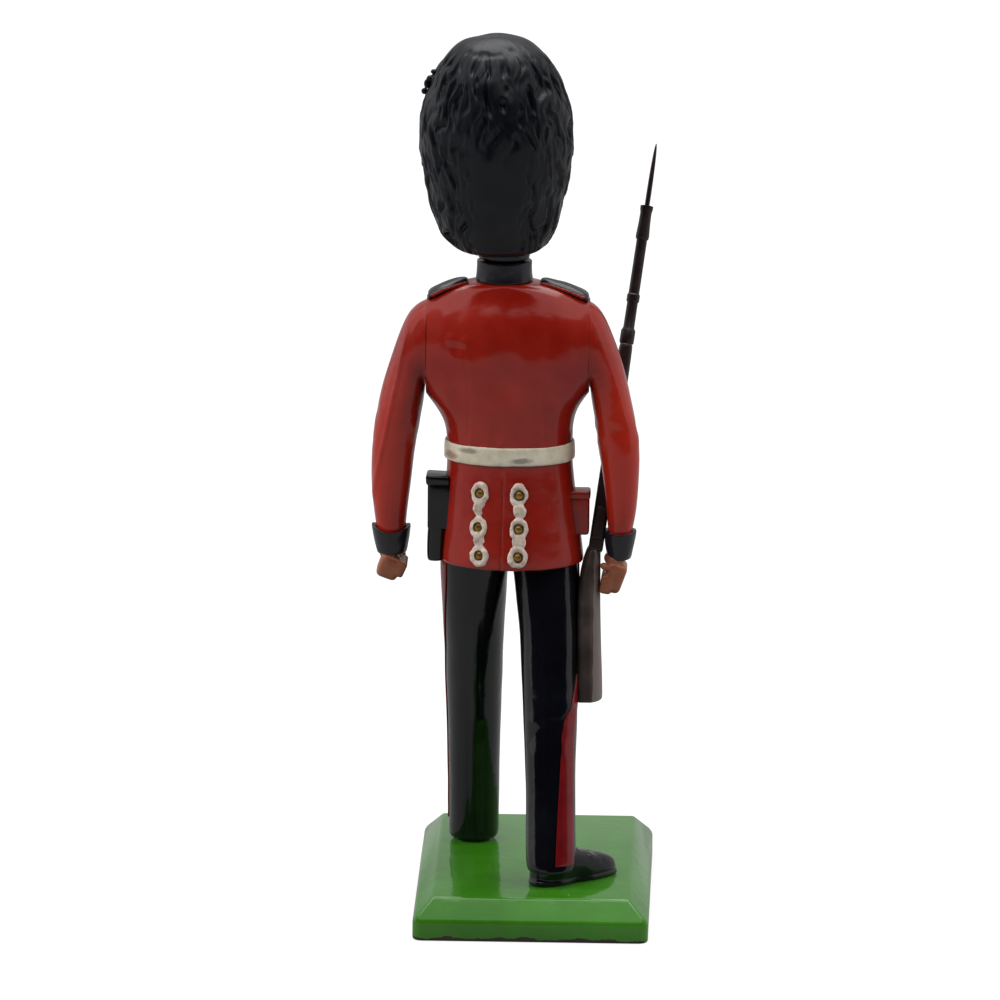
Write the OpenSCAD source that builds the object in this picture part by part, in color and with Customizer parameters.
// Painted metal toy soldier: a guardsman standing with a rifle on a bevelled stand.
// Millimetres, +Z up. The figure faces +Y, so its right side is +X.
// The origin is the centre of the stand's underside.

/* [Stand] */
// Width of the stand, left to right
stand_w = 18; // [16:0.5:24]
// Length of the stand, back to front
stand_l = 30; // [28:0.5:40]
// Height of the upright edge
edge_h = 1.6; // [1:0.1:3]
// Height of the bevel above the edge
bevel_h = 1.55; // [0.8:0.05:2.5]
// How far the bevel runs inward
bevel_run = 1.5; // [0.8:0.1:2.4]
// Radius of the upright corners
corner_r = 0.8; // [0.3:0.1:1.4]
// Diameter of the peg under each boot
peg_d = 1.8; // [1.2:0.1:2.2]

/* [Stance] */
// Sideways place of the body's axis from the stand's centre
figure_x = -2.1; // [-4:0.1:2]
// Lengthwise place of the body's axis from the stand's centre
figure_y = -1.75; // [-3:0.05:3]
// Distance from the back ankle to the front ankle, lengthwise
stride = 14.3; // [8:0.1:16]
// Distance between the ankles, sideways
foot_spread = 6.1; // [5:0.1:8]
// Toe-out angle of the right boot, in degrees
right_toe_out = 48; // [0:1:60]
// Toe-out angle of the left boot, in degrees
left_toe_out = 5; // [0:1:40]

/* [Legs] */
// Length of a boot
boot_l = 7.9; // [6:0.1:9]
// Width of a boot
boot_w = 2.9; // [2.4:0.1:3.6]
// Height of the boot up to the trouser hem
boot_h = 1.7; // [1.2:0.1:3]
// Height of the tunic's hem above the stand
leg_h = 23.9; // [18:0.1:30]
// Width of a trouser leg at the boot
cuff_w = 3.8; // [3:0.1:4.6]
// Width of a trouser leg at the knee
knee_w = 4.1; // [3.4:0.1:4.8]
// Depth of a trouser leg at the knee, back to front
knee_d = 4.6; // [3.6:0.1:5.4]
// Thickness of the trouser stripe
stripe_t = 0.1; // [0.06:0.01:0.15]

/* [Tunic] */
// Width of the skirt at the hem
hem_w = 11.1; // [10:0.1:13]
// Depth of the skirt at the hem
hem_d = 8.6; // [7.5:0.1:10]
// Height of the skirt, hem to belt
skirt_h = 7.8; // [6:0.1:10]
// Width of the waist
waist_w = 9.6; // [8.5:0.1:11]
// Depth of the waist
waist_d = 7.4; // [6.4:0.1:8.4]
// Height of the belt
belt_h = 1.5; // [1:0.1:2]
// Thickness of the belt
belt_t = 0.22; // [0.12:0.01:0.35]
// Height of the body, belt to collar
chest_h = 12.6; // [11:0.1:15]
// Depth of the chest
chest_d = 8.2; // [7:0.1:9.5]
// Width of the body between the two shoulder joints
shoulder_w = 12.5; // [11.6:0.1:14]
// Width of the collar
collar_w = 4.25; // [3.8:0.05:4.6]
// Height of the collar
collar_h = 1.6; // [1:0.1:2.4]
// Sideways drift of the body from hem to collar, as on a casting that leans
lean = 0.62; // [0:0.02:1.2]
// Thickness of the shoulder straps
strap_t = 0.22; // [0.12:0.01:0.4]
// Thickness of the lace on the skirt tails
lace_t = 0.16; // [0.1:0.01:0.3]
// Diameter of the buttons
button_d = 0.75; // [0.5:0.05:0.9]
// Height of the buttons
button_h = 0.25; // [0.15:0.05:0.4]
// Thickness of the bayonet scabbard at the left hip
scabbard_t = 1.25; // [0.8:0.05:1.5]

/* [Head] */
// Diameter of the neck plug that the head turns on
neck_d = 2.7; // [2:0.1:3]
// Width of the face
face_w = 4.75; // [4.2:0.05:5.4]
// Depth of the head, nape to face
face_d = 6; // [5.2:0.1:6.8]
// Height from the collar to the flat crown inside the cap
crown_h = 6.7; // [5.6:0.1:8]
// Greatest width of the fur cap
cap_w = 11.9; // [10:0.1:14]
// Greatest depth of the fur cap
cap_d = 12.2; // [10:0.1:14]
// Height of the fur cap at the back
cap_h = 16.2; // [14:0.1:20]
// How much higher the cap's front edge is than its back edge
brow_lift = 2.7; // [1.5:0.1:3.2]

/* [Arms] */
// Drop from the shoulder axis to the sleeve's end
sleeve_l = 17.1; // [15:0.1:19]
// Thickness of a sleeve at the elbow, back to front
sleeve_w = 3.5; // [3.2:0.1:3.8]
// Radius of the shoulder where it meets the body
shoulder_r = 3.2; // [2.8:0.05:3.4]
// Thickness of the cuffs
band_t = 0.18; // [0.1:0.01:0.3]
// Height of a fist
fist_h = 2.2; // [2:0.1:3.2]
// Diameter of the shoulder pins
pin_d = 1.6; // [1.2:0.1:2.2]
// Length of a shoulder pin inside the body
pin_in = 2.4; // [1.6:0.1:3]
// Length of a shoulder pin inside the arm
pin_out = 1.1; // [0.8:0.1:1.3]

/* [Rifle] */
// Thickness of the receiver and fore-end
rifle_t = 1.1; // [0.9:0.05:1.3]
// Depth of the receiver, back to front
receiver_d = 2.2; // [1.8:0.1:2.6]
// Length of the receiver
receiver_l = 8; // [6.5:0.1:9]
// Length of the fore-end
fore_end_l = 8.2; // [6:0.1:10]
// Diameter of the barrel
barrel_d = 0.85; // [0.6:0.05:0.95]
// Length of the barrel that shows, fore-end to bayonet
barrel_l = 8.2; // [6:0.1:10]
// Length of the bayonet's grip
bayonet_grip_l = 2.6; // [2:0.1:3.5]
// Length of the bayonet's blade
blade_l = 4.9; // [3.5:0.1:7]
// Length of the butt
butt_l = 11.2; // [9:0.1:13]
// Thickness of the butt at its end
butt_t = 1.95; // [1.5:0.05:2.2]
// Sideways lean of the rifle, in mm per mm of height
rifle_lean = 0.14; // [0:0.01:0.2]
// Gap between the right elbow and the rifle, which leans forward past it
elbow_gap = 0.08; // [0.05:0.01:0.3]

/* [Fits] */
// Radial clearance of pins, plugs and pegs in their holes
fit = 0.04; // [0.02:0.01:0.08]
// Gap between the arms and the body
joint_gap = 0.06; // [0.03:0.01:0.15]

/* [Hidden] */
$fn = 48;

red = [0.55, 0.09, 0.07];
black = [0.06, 0.06, 0.08];
white = [0.85, 0.82, 0.74];
brass = [0.66, 0.50, 0.18];
flesh = [0.68, 0.40, 0.25];
green = [0.27, 0.50, 0.18];
dark_wood = [0.24, 0.17, 0.15];
gunmetal = [0.14, 0.11, 0.11];
big = 100;

// Ribs and the solids made from them
// A rib is one cross-section: [x0, z0, x1, z1, y0, y1, squareness, brow].
// Its ends in the front view are (x0, z0) and (x1, z1), it runs from y0 at the back to y1 at the
// front, and brow lifts its front edge. Squareness 2 is an ellipse, more is boxier.
function level(z, x, y, w, d, squareness = 2.2, brow = 0) =
    [x - w / 2, z, x + w / 2, z, y - d / 2, y + d / 2, squareness, brow];
function slant(p, q, y, d, squareness = 2.2) =
    [p[0], p[1], q[0], q[1], y - d / 2, y + d / 2, squareness, 0];

function soft(v, squareness) = sign(v) * pow(abs(v), 2 / squareness);
function rib_point(r, turn) =
    let (
        c = soft(cos(turn), r[6]),
        s = soft(sin(turn), r[6])
    )
    [
        (r[0] + r[2]) / 2 + (r[2] - r[0]) / 2 * c,
        (r[4] + r[5]) / 2 + (r[5] - r[4]) / 2 * s,
        (r[1] + r[3]) / 2 + (r[3] - r[1]) / 2 * c + r[7] * max(s, 0)
    ];

// Smooth ribs through the given ones, with the given number of steps between two of them
function between(ribs, i, t) =
    let (
        a = ribs[max(i - 1, 0)],
        b = ribs[i],
        c = ribs[i + 1],
        d = ribs[min(i + 2, len(ribs) - 1)]
    )
    b + (c - a) * t / 2 + (2 * a - 5 * b + 4 * c - d) * t * t / 2 + (3 * b - a - 3 * c + d) * t * t * t / 2;
function smooth(ribs, steps) = [
    for (i = [0 : len(ribs) - 2]) for (j = [0 : steps - 1]) between(ribs, i, j / steps),
    ribs[len(ribs) - 1]
];

// Rings of points on the ribs, held between two upright planes at x = limits
function rings(ribs, sides, limits = [-big, big]) = [
    for (r = ribs) [
        for (i = [0 : sides - 1])
            let (p = rib_point(r, 360 * i / sides))
            [min(max(p[0], limits[0]), limits[1]), p[1], p[2]]
    ]
];

// Closed solid over a row of rings, listed bottom to top
module skin(rows) {
    n = len(rows[0]);
    top = (len(rows) - 1) * n;
    sides = [
        for (k = [0 : len(rows) - 2]) for (i = [0 : n - 1])
            let (
                a = k * n + i,
                b = k * n + (i + 1) % n
            )
            each [[a, a + n, b + n], [a, b + n, b]]
    ];
    caps = [[for (i = [0 : n - 1]) i], [for (i = [n - 1 : -1 : 0]) top + i]];
    polyhedron([for (row = rows) each row], concat(sides, caps), convexity = 6);
}

// Outward direction of a skin at row k and column i, and a point raised above it
function outward(rows, k, i) =
    let (
        n = len(rows[0]),
        along = rows[k][(i + 1) % n] - rows[k][(i + n - 1) % n],
        up = rows[min(k + 1, len(rows) - 1)][i] - rows[max(k - 1, 0)][i],
        away = cross(along, up)
    )
    away / norm(away);
function raised(rows, k, i, height) =
    let (column = (i + len(rows[0])) % len(rows[0]))
    rows[k][column] + outward(rows, k, column) * height;

// The row next below a height in column i, and how far above that row the height lies
function row_under(rows, i, z) = max([for (k = [0 : len(rows) - 2]) if (rows[k][i][2] <= z) k]);
function at_height(rows, i, z) =
    let (
        k = row_under(rows, i, z),
        low = rows[k][i],
        high = rows[k + 1][i]
    )
    low + (high - low) * (z - low[2]) / (high[2] - low[2]);

// Slab on a skin from row k0 to k1 and column i0 to i1, between two heights above the skin
module slab(rows, k0, k1, i0, i1, under, over) {
    closed = i1 - i0 == len(rows[0]);
    count = closed ? i1 - i0 : i1 - i0 + 1;
    m = 2 * (k1 - k0 + 1);
    loops = [
        for (c = [0 : count - 1]) each concat(
            [for (k = [k0 : k1]) raised(rows, k, i0 + c, under)],
            [for (k = [k1 : -1 : k0]) raised(rows, k, i0 + c, over)]
        )
    ];
    walls = [
        for (c = [0 : (closed ? count - 1 : count - 2)]) for (j = [0 : m - 1])
            let (
                here = c * m,
                next = ((c + 1) % count) * m,
                up = (j + 1) % m
            )
            each [[here + j, next + up, here + up], [here + j, next + j, next + up]]
    ];
    last = (count - 1) * m;
    ends = closed ? [] : [
        for (j = [0 : m / 2 - 2])
            let (far = m - 1 - j)
            each [
                [j, j + 1, far - 1], [j, far - 1, far],
                [last + j, last + far - 1, last + j + 1], [last + j, last + far, last + far - 1]
            ]
    ];
    polyhedron(loops, concat(walls, ends), convexity = 6);
}

// Places children at a point, standing along a direction
module stood(point, away) {
    translate(point)
        rotate([0, acos(away[2] / norm(away)), atan2(away[1], away[0])])
            children();
}

// Heights of the figure
stand_h = edge_h + bevel_h;
trouser_z = stand_h + boot_h;
hem_z = stand_h + leg_h;
belt_z = hem_z + skirt_h;
belt_top_z = belt_z + belt_h;
collar_z = belt_top_z + chest_h;
collar_top_z = collar_z + collar_h;

// Holes end this far beyond what sits in them, and cutters run this far past a face
past = 1;

// The body's axis drifts to the left as it rises
function axis_x(z) = figure_x - lean * pow((z - hem_z) / (collar_z - hem_z), 2);
neck_x = axis_x(collar_z);
neck_plug_l = 2.6;

// Tunic: ribs from the hem to the collar
tunic_sides = 40;
tunic_steps = 2;
pivot_z = collar_z - 4.7;
shoulder_x = axis_x(pivot_z) + 0.1;
left_joint_x = shoulder_x - shoulder_w / 2;
right_joint_x = shoulder_x + shoulder_w / 2;
shoulder_flat = 1;
hem_x = figure_x + 0.15;
// One rib of the skirt, at share t of its height
function skirt_rib(t) =
    level(
        hem_z + skirt_h * t, hem_x + (axis_x(belt_z) - hem_x) * t, figure_y,
        hem_w + (waist_w - hem_w) * t, hem_d + (waist_d - hem_d) * t
    );
chest_ribs = [
    skirt_rib(0),
    skirt_rib(0.35),
    skirt_rib(0.58),
    skirt_rib(0.86),
    skirt_rib(1),
    level(belt_top_z, axis_x(belt_top_z), figure_y, waist_w, waist_d),
    level(pivot_z - 6.5, axis_x(pivot_z - 6.5), figure_y, waist_w + 0.1, waist_d + 0.1),
    level(pivot_z - 5.2, axis_x(pivot_z), figure_y, shoulder_w - 1.8, chest_d - 0.4, 2.3),
    level(pivot_z - 3.9, axis_x(pivot_z), figure_y, shoulder_w, chest_d - 0.2, 2.5),
    level(pivot_z - 0.7, shoulder_x, figure_y, shoulder_w + shoulder_flat, chest_d, 3),
    level(pivot_z + 2.1, shoulder_x, figure_y, shoulder_w + shoulder_flat, chest_d - 1.4, 3),
    level(pivot_z + 3.6, shoulder_x, figure_y, shoulder_w - 0.6, chest_d - 3, 2.6),
    level(pivot_z + 4.4, neck_x, figure_y, collar_w + 3.6, collar_w + 0.6),
    level(collar_z, neck_x, figure_y, collar_w + 0.2, collar_w + 0.2, 2)
];
tunic_rows = rings(smooth(chest_ribs, tunic_steps), tunic_sides, [left_joint_x, right_joint_x]);

// Rows and columns of the tunic's skin where things sit
belt_row = 4 * tunic_steps;
belt_top_row = 5 * tunic_steps;
lace_top_row = 3 * tunic_steps;
frog_row = tunic_steps;
strap_row = 11 * tunic_steps;
strap_end_row = 12 * tunic_steps + 1;
right_side = 0;
front = tunic_sides / 4;
left_side = tunic_sides / 2;
left_lace = 3 * tunic_sides / 4 - 4;
right_lace = 3 * tunic_sides / 4;

// Legs: hips under the skirt, ankles over the boots
leg_sides = 24;
leg_steps = 3;
crotch_gap = 0.1;
hip_w = hem_w / 2 - 0.25;
left_hip_x = figure_x - crotch_gap / 2 - hip_w / 2;
right_hip_x = figure_x + crotch_gap / 2 + hip_w / 2;
left_ankle = [figure_x + 0.28 - foot_spread / 2, figure_y + stride / 2];
right_ankle = [figure_x + 0.28 + foot_spread / 2, figure_y - stride / 2];

function leg_rib(hip_x, ankle, t, w, d, bow = 0) =
    level(
        trouser_z + (hem_z - trouser_z) * t,
        ankle[0] + (hip_x - ankle[0]) * t + bow,
        ankle[1] + (figure_y - ankle[1]) * t,
        w, d
    );
function leg_ribs(hip_x, ankle, bow) = [
    leg_rib(hip_x, ankle, 0, cuff_w, cuff_w + 0.4),
    leg_rib(hip_x, ankle, 0.2, cuff_w - 0.1, cuff_w + 0.2),
    leg_rib(hip_x, ankle, 0.47, knee_w, knee_d, bow),
    leg_rib(hip_x, ankle, 0.75, knee_w + 0.3, knee_d + 0.6, bow),
    leg_rib(hip_x, ankle, 1, hip_w, knee_d + 1.2)
];
// The right leg bows outward
right_bow = 0.25;
left_leg_ribs = leg_ribs(left_hip_x, left_ankle, 0);
right_leg_ribs = leg_ribs(right_hip_x, right_ankle, right_bow);
left_leg_rows = rings(smooth(left_leg_ribs, leg_steps), leg_sides);
right_leg_rows = rings(smooth(right_leg_ribs, leg_steps), leg_sides);
right_leg_x = max([for (r = right_leg_ribs) r[2]]);
stripe_rows = 4 * leg_steps;

// Boots, drawn with the heel's centre at the origin and the toe toward +Y
heel_back = boot_w / 2;
function boot_rib(t, shrink_w, shrink_l) =
    level(
        boot_h * t, 0, (boot_l - shrink_l) / 2 - heel_back,
        boot_w - shrink_w, boot_l - shrink_l, 2.6
    );
boot_ribs = [
    boot_rib(0, 0.25, 0.25),
    boot_rib(0.25, 0, 0),
    boot_rib(0.6, 0.05, 0.9),
    boot_rib(1, 0.3, boot_l - cuff_w)
];
boot_rows = rings(smooth(boot_ribs, 2), 24);
peg_l = stand_h - 0.3;

// Arms: each rib runs from the sleeve's inner side to its outer side, as seen from behind.
// A row of the table is [inner distance out from the joint face, inner drop below the shoulder
// axis, outer distance, outer drop, distance forward, depth, share of the elbow's draw-back].
// Distances and depths are shares of the sleeve's thickness. Fuller thickens the inner side.
arm_sides = 24;
arm_steps = 2;
elbow_row = 3;
elbow_back = 1;
sleeve_z = pivot_z - sleeve_l;
function arm_table(fuller) = [
    [0.44, sleeve_l, 0.9, sleeve_l, 0.09, 0.6, 1],
    [0.43 - fuller, sleeve_l * 0.87, 0.94, sleeve_l * 0.87, 0.03, 0.71, 1],
    [0.37 - fuller, sleeve_l * 0.73, 1.06, sleeve_l * 0.73, -0.09, 0.86, 1],
    [0.26 - fuller, sleeve_l * 0.54, 1.1, sleeve_l * 0.52, -0.06, 1, 1],
    [0.14 - fuller / 2, sleeve_l * 0.4, 1.04, sleeve_l * 0.36, -0.03, 1.17, 0.5],
    [0.035, shoulder_r * 1.47, 0.8, shoulder_r * 0.81, 0, 1.37, 0],
    [0.017, shoulder_r * 1.16, 0.53, shoulder_r * -0.22, 0, 1.49, 0],
    [0.006, shoulder_r * 1.06, 0.26, shoulder_r * -0.83, 0, 1.57, 0],
    [0, shoulder_r, 0, -shoulder_r, 0, 1.57, 0]
];

// Rifle: it stands clear of the skirt's hem and of the right leg, and is held just above the
// sleeve's end. The lug on the skirt fills the room beside it.
rifle_gap = 0.32;
butt_out = 0.1;
butt_tuck = 0.2;
rifle_in_x = max(hem_x + hem_w / 2 + rifle_gap, right_leg_x + butt_t - rifle_t - butt_tuck);
rifle_x = rifle_in_x + rifle_t / 2;
rifle_y = figure_y - 0.35;
grip_z = sleeve_z + 0.7;
elbow = arm_table(0)[elbow_row];
elbow_y = figure_y + (elbow[4] + elbow[5] / 2) * sleeve_w - elbow_back;
rifle_pitch = (elbow_y + elbow_gap + receiver_d / 2 - rifle_y) / (pivot_z - elbow[1] - grip_z);
butt_out_x = rifle_x + rifle_t / 2 + butt_out;
lug_gap = 0.03;
lug_rib = skirt_rib(0.35);
lug_t = rifle_in_x + rifle_lean * (lug_rib[1] - grip_z) - lug_rib[2] - lug_gap;
function butt_rib(t, inset, share, back, d) =
    level(
        grip_z - butt_l * t, butt_out_x - inset - butt_t * share / 2,
        rifle_y - back, butt_t * share, d, 3.5
    );
butt_ribs = [
    butt_rib(1, 0, 1, 1.4, 4),
    butt_rib(0.66, 0.17, 0.88, 1.2, 3.4),
    butt_rib(0.33, 0.3, 0.73, 0.9, 2.6),
    butt_rib(0.11, 0.3, 0.67, 0.5, 2.2),
    level(grip_z, rifle_x, rifle_y, rifle_t - 0.1, receiver_d - 0.2, 3.5)
];
butt_rows = rings(smooth(butt_ribs, 2), 20);

magazine_t = rifle_t - 0.3;
band_l = 1.2;
blade_w = 0.6;
blade_t = 0.36;
grip_taper = 0.6;

// Each arm spreads outward by the given distance at the sleeve's end
function arm_ribs(side, face_x, spread, back, fuller) = [
    for (t = arm_table(fuller))
        let (
            inner = [face_x + side * (t[0] * sleeve_w + spread * t[1] / sleeve_l), pivot_z - t[1]],
            outer = [face_x + side * (t[2] * sleeve_w + spread * t[3] / sleeve_l), pivot_z - t[3]],
            y = figure_y + t[4] * sleeve_w - back * t[6],
            d = t[5] * sleeve_w
        )
        side > 0 ? slant(inner, outer, y, d) : slant(outer, inner, y, d)
];
left_face_x = left_joint_x - joint_gap;
right_face_x = right_joint_x + joint_gap;
hand_gap = 0.3;
wrist_in = arm_table(0)[0][0] * sleeve_w;
wrist_mid = (wrist_in + arm_table(0)[0][2] * sleeve_w) / 2;
wrist_y = figure_y + arm_table(0)[0][4] * sleeve_w;
scabbard_x = hem_x - hem_w / 2 - scabbard_t;
left_spread = max(0.2, left_face_x + band_t - scabbard_x - 0.45);
right_spread = rifle_x + rifle_t / 2 + hand_gap + band_t - right_face_x - wrist_in;
left_arm_ribs = arm_ribs(-1, left_face_x, left_spread, 0, 0.06);
right_arm_ribs = arm_ribs(1, right_face_x, right_spread, elbow_back, -0.02);
left_arm_rows = rings(smooth(left_arm_ribs, arm_steps), arm_sides);
right_arm_rows = rings(smooth(right_arm_ribs, arm_steps), arm_sides);
cuff_rows = arm_steps;

// Hands hang from the flat ends of the sleeves
wrist_w = 1.2;
left_wrist = [left_face_x - wrist_mid + 0.2 - left_spread, wrist_y];
right_wrist = [right_face_x + wrist_mid + right_spread, wrist_y - elbow_back];
function fist_ribs(x, y, w, d) = [
    level(sleeve_z - fist_h, x, y, w * 0.45, d * 0.55),
    level(sleeve_z - fist_h * 0.78, x, y, w * 0.82, d * 0.9),
    level(sleeve_z - fist_h * 0.4, x, y, w, d),
    level(sleeve_z - 0.2, x, y, wrist_w, wrist_w + 0.5),
    level(sleeve_z, x, y, wrist_w, wrist_w + 0.5)
];

// Head and cap
head_x = neck_x - 0.35;
head_y = figure_y + 0.35;
chin_z = collar_top_z + 0.12;
crown_z = collar_top_z + crown_h;
head_sides = 32;
head_ribs = [
    level(chin_z, neck_x - 0.1, figure_y + 0.15, neck_d + 0.6, neck_d + 1.1),
    level(chin_z + 0.7, head_x + 0.1, head_y + 0.15, face_w - 0.8, face_d - 1),
    level(chin_z + 2.1, head_x, head_y + 0.05, face_w - 0.15, face_d - 0.2),
    level(chin_z + 3.9, head_x, head_y, face_w, face_d),
    level(crown_z - 0.8, head_x, head_y, face_w - 0.05, face_d - 0.1),
    level(crown_z, head_x, head_y, face_w - 0.6, face_d - 0.7)
];
head_steps = 2;
chain_t = 0.15;
head_rows = rings(smooth(head_ribs, head_steps), head_sides);

cap_z = collar_top_z + 1.15;
cap_x = head_x - 0.45;
cap_y = head_y + 0.05;
cap_fit = 0.08;
function cap_rib(t, share, brow = 0) =
    level(cap_z + cap_h * t, cap_x, cap_y, cap_w * share, cap_d * share, 2.1, brow);
cap_outer = [
    level(cap_z, cap_x + 0.2, cap_y - 0.15, face_w + 2.5, face_d + 2.4, 2.1, brow_lift),
    cap_rib(0.12, 0.81, brow_lift * 0.6),
    cap_rib(0.3, 0.92, brow_lift * 0.2),
    cap_rib(0.53, 1),
    cap_rib(0.76, 0.88),
    cap_rib(0.9, 0.67),
    cap_rib(0.973, 0.39),
    cap_rib(1, 0.1)
];
cap_inner = [
    level(crown_z, head_x, head_y, face_w + 2 * cap_fit, face_d + 2 * cap_fit),
    level(cap_z, head_x, head_y, face_w + 2 * cap_fit, face_d + 2 * cap_fit, 2.2, brow_lift)
];

// Stand and feet
module stand() {
    inner_w = stand_w - 2 * corner_r;
    inner_l = stand_l - 2 * corner_r;
    color(green)
        difference() {
            intersection() {
                rotate([90, 0, 0])
                    linear_extrude(height = stand_l, center = true)
                        bevel_outline(stand_w);
                rotate([90, 0, 90])
                    linear_extrude(height = stand_w, center = true)
                        bevel_outline(stand_l);
                linear_extrude(height = stand_h) {
                    square([stand_w, inner_l], center = true);
                    square([inner_w, stand_l], center = true);
                    for (x = [-1, 1], y = [-1, 1])
                        translate([x * inner_w / 2, y * inner_l / 2])
                            circle(r = corner_r);
                }
            }
            for (ankle = [left_ankle, right_ankle])
                translate([ankle[0], ankle[1], -past])
                    cylinder(d = peg_d + 2 * fit, h = stand_h + 2 * past);
        }
}

module bevel_outline(span) {
    polygon([
        [-span / 2, 0], [span / 2, 0], [span / 2, edge_h],
        [span / 2 - bevel_run, stand_h], [bevel_run - span / 2, stand_h], [-span / 2, edge_h]
    ]);
}

module boot(ankle, toe_out) {
    color(black)
        translate([ankle[0], ankle[1], stand_h])
            union() {
                rotate([0, 0, toe_out])
                    skin(boot_rows);
                translate([0, 0, -peg_l])
                    cylinder(d = peg_d, h = peg_l + boot_h / 2);
            }
}

module left_boot() {
    boot(left_ankle, left_toe_out);
}

module right_boot() {
    boot(right_ankle, -right_toe_out);
}

module left_trouser_leg() {
    color(black)
        skin(left_leg_rows);
}

module right_trouser_leg() {
    color(black)
        skin(right_leg_rows);
}

module left_trouser_stripe() {
    color(red)
        slab(left_leg_rows, 0, stripe_rows, leg_sides / 2 - 1, leg_sides / 2 + 1, 0, stripe_t);
}

// The toed-out right leg carries its seam toward the back
module right_trouser_stripe() {
    color(red)
        slab(right_leg_rows, 0, stripe_rows, -3, -1, 0, stripe_t);
}

// Tunic and what is worn on it
module tunic() {
    color(red)
        difference() {
            skin(tunic_rows);
            translate([neck_x, figure_y, collar_z - neck_plug_l - fit])
                cylinder(d = neck_d + 2 * fit, h = neck_plug_l + past);
            for (x = [left_joint_x - past, right_joint_x - pin_in])
                translate([x, figure_y, pivot_z])
                    rotate([0, 90, 0])
                        cylinder(d = pin_d + 2 * fit, h = pin_in + past);
        }
}

module collar() {
    color(black)
        translate([neck_x, figure_y, collar_z])
            difference() {
                cylinder(d1 = collar_w, d2 = collar_w - 0.15, h = collar_h);
                translate([0, 0, -past])
                    cylinder(d = neck_d + 2 * fit, h = collar_h + 2 * past);
            }
}

module waist_belt() {
    color(white)
        slab(tunic_rows, belt_row, belt_top_row, 0, tunic_sides, 0, belt_t);
}

module belt_clasp() {
    color(brass)
        slab(tunic_rows, belt_row, belt_top_row, front - 1, front + 1, belt_t, 2 * belt_t);
}

module left_shoulder_strap() {
    color(black)
        slab(tunic_rows, strap_row, strap_end_row, left_side - 2, left_side + 2, 0, strap_t);
}

module right_shoulder_strap() {
    color(black)
        slab(tunic_rows, strap_row, strap_end_row, right_side - 2, right_side + 2, 0, strap_t);
}

module left_tail_lace() {
    color(white)
        slab(tunic_rows, 0, lace_top_row, left_lace, left_lace + 2, 0, lace_t);
}

module right_tail_lace() {
    color(white)
        slab(tunic_rows, 0, lace_top_row, right_lace, right_lace + 2, 0, lace_t);
}

module button() {
    rotate_extrude()
        polygon([
            [0, 0], [button_d / 2, 0], [button_d / 2, button_h / 2],
            [button_d / 4, button_h], [0, button_h]
        ]);
}

module tail_buttons() {
    color(brass)
        for (column = [left_lace + 1, right_lace + 1], row = [1 : 2 : lace_top_row])
            stood(raised(tunic_rows, row, column, lace_t), outward(tunic_rows, row, column))
                button();
}

module front_buttons() {
    color(brass)
        for (z = [collar_z - 2.9 : -2.1 : belt_top_z + 0.8])
            let (k = row_under(tunic_rows, front, z))
            stood(at_height(tunic_rows, front, z), front_lean(k))
                button();
}

// Square to the front edge of the tunic between row k and the next
function front_lean(k) = cross([-1, 0, 0], tunic_rows[k + 1][front] - tunic_rows[k][front]);

module bayonet_frog() {
    color(black)
        slab(tunic_rows, frog_row, lace_top_row, left_side - 1, left_side + 2, 0, scabbard_t);
}

module bayonet_scabbard() {
    color(black)
        slab(tunic_rows, 0, frog_row, left_side, left_side + 2, 0, scabbard_t - 0.15);
}

module hip_lug() {
    color(red)
        slab(tunic_rows, frog_row, lace_top_row - 1, right_side - 2, right_side + 1, 0, lug_t);
}

// Head
module head() {
    color(flesh)
        union() {
            skin(head_rows);
            translate([neck_x, figure_y, collar_z - neck_plug_l])
                cylinder(d = neck_d, h = neck_plug_l + collar_h + 0.5);
        }
}

module fur_cap() {
    color(black)
        skin(rings(concat(cap_inner, smooth(cap_outer, 2)), head_sides));
}

module chin_chain() {
    color(brass)
        slab(head_rows, head_steps, head_steps + 1, 2, head_sides / 2 - 2, 0, chain_t);
}

// Arms
module shoulder_pin(x) {
    color("silver")
        translate([x, figure_y, pivot_z])
            rotate([0, 90, 0])
                cylinder(d = pin_d, h = pin_in + joint_gap + pin_out);
}

module left_shoulder_pin() {
    shoulder_pin(left_joint_x - joint_gap - pin_out);
}

module right_shoulder_pin() {
    shoulder_pin(right_joint_x - pin_in);
}

module sleeve(rows, pin_x) {
    color(red)
        difference() {
            skin(rows);
            translate([pin_x, figure_y, pivot_z])
                rotate([0, 90, 0])
                    cylinder(d = pin_d + 2 * fit, h = pin_out + fit + past);
        }
}

module left_sleeve() {
    sleeve(left_arm_rows, left_face_x - pin_out - fit);
}

module left_cuff() {
    color(black)
        slab(left_arm_rows, 0, cuff_rows, 0, arm_sides, 0, band_t);
}

module left_hand() {
    color(flesh)
        skin(rings(smooth(fist_ribs(left_wrist[0], left_wrist[1], 2.4, 2.5), 2), 20));
}

module right_sleeve() {
    sleeve(right_arm_rows, right_face_x - past);
}

module right_cuff() {
    color(black)
        slab(right_arm_rows, 0, cuff_rows, 0, arm_sides, 0, band_t);
}

// The right hand closes round the butt, which leaves its own shape in it
module right_hand() {
    color(flesh)
        difference() {
            skin(rings(smooth(fist_ribs(right_wrist[0] - 0.45, right_wrist[1], 2.2, 3), 2), 20));
            skin(butt_rows);
        }
}

// Rifle, drawn upright on its own axis and leaned into place from the grip
module leaned() {
    side = atan(rifle_lean);
    translate([rifle_x, rifle_y, grip_z])
        rotate([-atan(rifle_pitch * cos(side)), side, 0])
            children();
}

module rifle_butt() {
    color(dark_wood)
        skin(butt_rows);
}

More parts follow.
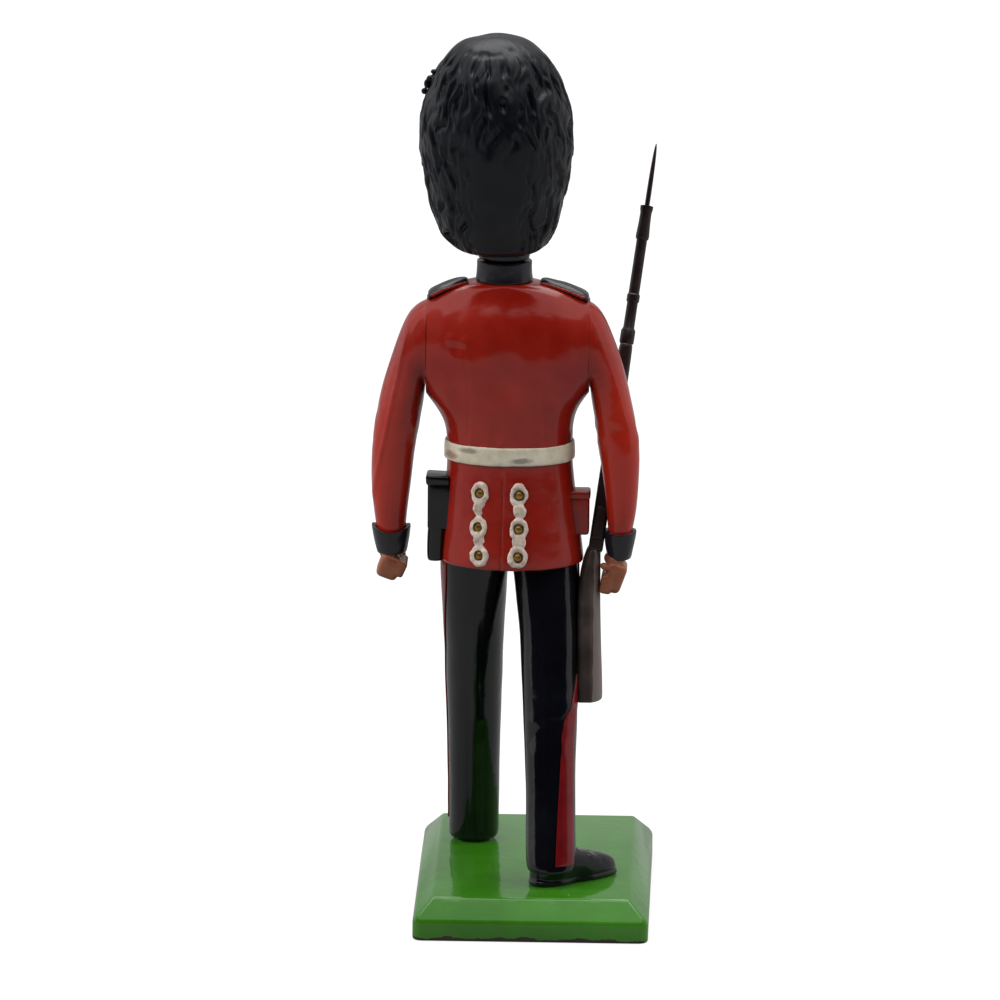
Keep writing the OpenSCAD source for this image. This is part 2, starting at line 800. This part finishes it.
module rifle_receiver() {
    color(gunmetal)
        difference() {
            leaned()
                translate([-rifle_t / 2, -receiver_d / 2, -past])
                    cube([rifle_t, receiver_d, receiver_l + past]);
            translate([-big / 2, -big / 2, grip_z - big])
                cube(big);
        }
}

module rifle_magazine() {
    well = receiver_d / 2;
    color(gunmetal)
        leaned()
            rotate([90, 0, 90])
                linear_extrude(height = magazine_t, center = true)
                    polygon([
                        [well, receiver_l - 3.9], [well + 2.6, receiver_l - 4.5],
                        [well + 2.9, receiver_l - 1.9], [well, receiver_l - 1.2]
                    ]);
}

module rifle_fore_end() {
    half = [rifle_t, receiver_d - 0.6] / 2;
    slope = 0.3;
    color(dark_wood)
        leaned()
            translate([0, 0, receiver_l])
                linear_extrude(height = fore_end_l)
                    polygon([
                        [half[0] - slope, -half[1]], [half[0], slope - half[1]],
                        [half[0], half[1] - slope], [half[0] - slope, half[1]],
                        [slope - half[0], half[1]], [-half[0], half[1] - slope],
                        [-half[0], slope - half[1]], [slope - half[0], -half[1]]
                    ]);
}

module rifle_barrel() {
    color(gunmetal)
        leaned()
            translate([0, 0, receiver_l + fore_end_l])
                union() {
                    cylinder(d = barrel_d, h = barrel_l);
                    cylinder(d = barrel_d + 0.25, h = band_l);
                }
}

module bayonet() {
    grip_d = barrel_d + 0.15;
    shaft_l = bayonet_grip_l - grip_taper;
    color(gunmetal)
        leaned()
            translate([0, 0, receiver_l + fore_end_l + barrel_l])
                union() {
                    cylinder(d = grip_d, h = shaft_l);
                    translate([0, 0, shaft_l])
                        cylinder(d1 = grip_d, d2 = barrel_d / 2, h = grip_taper);
                    translate([0, 0, shaft_l + grip_taper / 2])
                        rotate([90, 0, 90])
                            linear_extrude(height = blade_t, center = true)
                                blade_outline(blade_l + grip_taper / 2);
                }
}

module blade_outline(length) {
    shoulder = length - 1.5 * blade_w;
    polygon([
        [-blade_w / 2, 0], [blade_w / 2, 0], [blade_w / 2, shoulder],
        [0, length], [-blade_w / 2, shoulder]
    ]);
}

stand();
left_boot();
right_boot();
left_trouser_leg();
right_trouser_leg();
left_trouser_stripe();
right_trouser_stripe();
tunic();
collar();
waist_belt();
belt_clasp();
left_shoulder_strap();
right_shoulder_strap();
left_tail_lace();
right_tail_lace();
tail_buttons();
front_buttons();
bayonet_frog();
bayonet_scabbard();
hip_lug();
head();
fur_cap();
chin_chain();
left_shoulder_pin();
right_shoulder_pin();
left_sleeve();
left_cuff();
left_hand();
right_sleeve();
right_cuff();
right_hand();
rifle_butt();
rifle_receiver();
rifle_magazine();
rifle_fore_end();
rifle_barrel();
bayonet();
